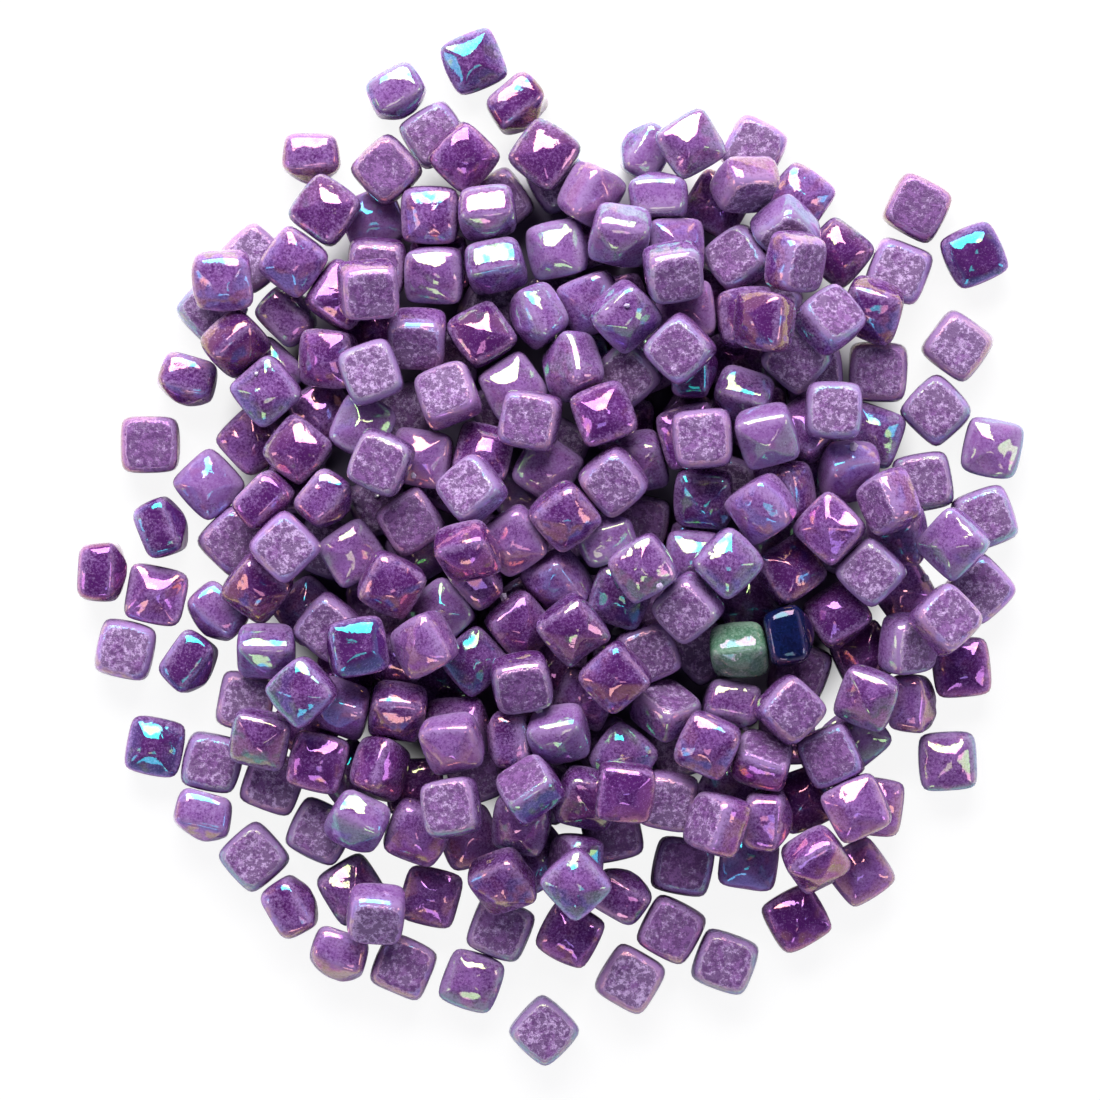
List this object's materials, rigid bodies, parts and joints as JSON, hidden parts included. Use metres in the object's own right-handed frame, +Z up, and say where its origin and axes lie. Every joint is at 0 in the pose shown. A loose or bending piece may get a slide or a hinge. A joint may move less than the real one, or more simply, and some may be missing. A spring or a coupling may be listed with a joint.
{
  "type": "heap of loose glass mosaic tiles",
  "caption": "Heap of loose square pressed-glass mosaic tiles with low faceted fronts and a pearl lustre, lying as tipped out on a level floor.",
  "frame": {"origin": "middle of the heap's bounding box, at floor level", "axes": "+Z up from the floor, +Y towards the top edge of the straight-down view, +X towards its right edge"},
  "size_m": [0.1246, 0.1366, 0.023],
  "materials": {
    "purple_glass": "opaque pressed glass, gloss with pearl lustre, rough grainy back",
    "green_glass": "opaque pressed glass, gloss with pearl lustre",
    "blue_glass": "opaque pressed glass, gloss with pearl lustre"
  },
  "bodies": {
    "root": {"blue_tile": "blue_glass", "deep_tiles_back_left": "purple_glass", "deep_tiles_back_right": "purple_glass", "deep_tiles_front_left": "purple_glass", "deep_tiles_front_right": "purple_glass", "floor_tiles_back_left": "purple_glass", "floor_tiles_back_right": "purple_glass", "floor_tiles_front_left": "purple_glass", "floor_tiles_front_right": "purple_glass", "green_tile": "green_glass", "hidden_tiles_back_left": "purple_glass", "hidden_tiles_back_right": "purple_glass", "hidden_tiles_front_left": "purple_glass", "hidden_tiles_front_right": "purple_glass", "loose_tiles": "purple_glass", "middle_tiles_back_left": "purple_glass", "middle_tiles_back_right": "purple_glass", "middle_tiles_front_left": "purple_glass", "middle_tiles_front_right": "purple_glass", "top_tiles_back_left": "purple_glass", "top_tiles_back_right": "purple_glass", "top_tiles_front_left": "purple_glass", "top_tiles_front_right": "purple_glass"}
  },
  "joints": []
}
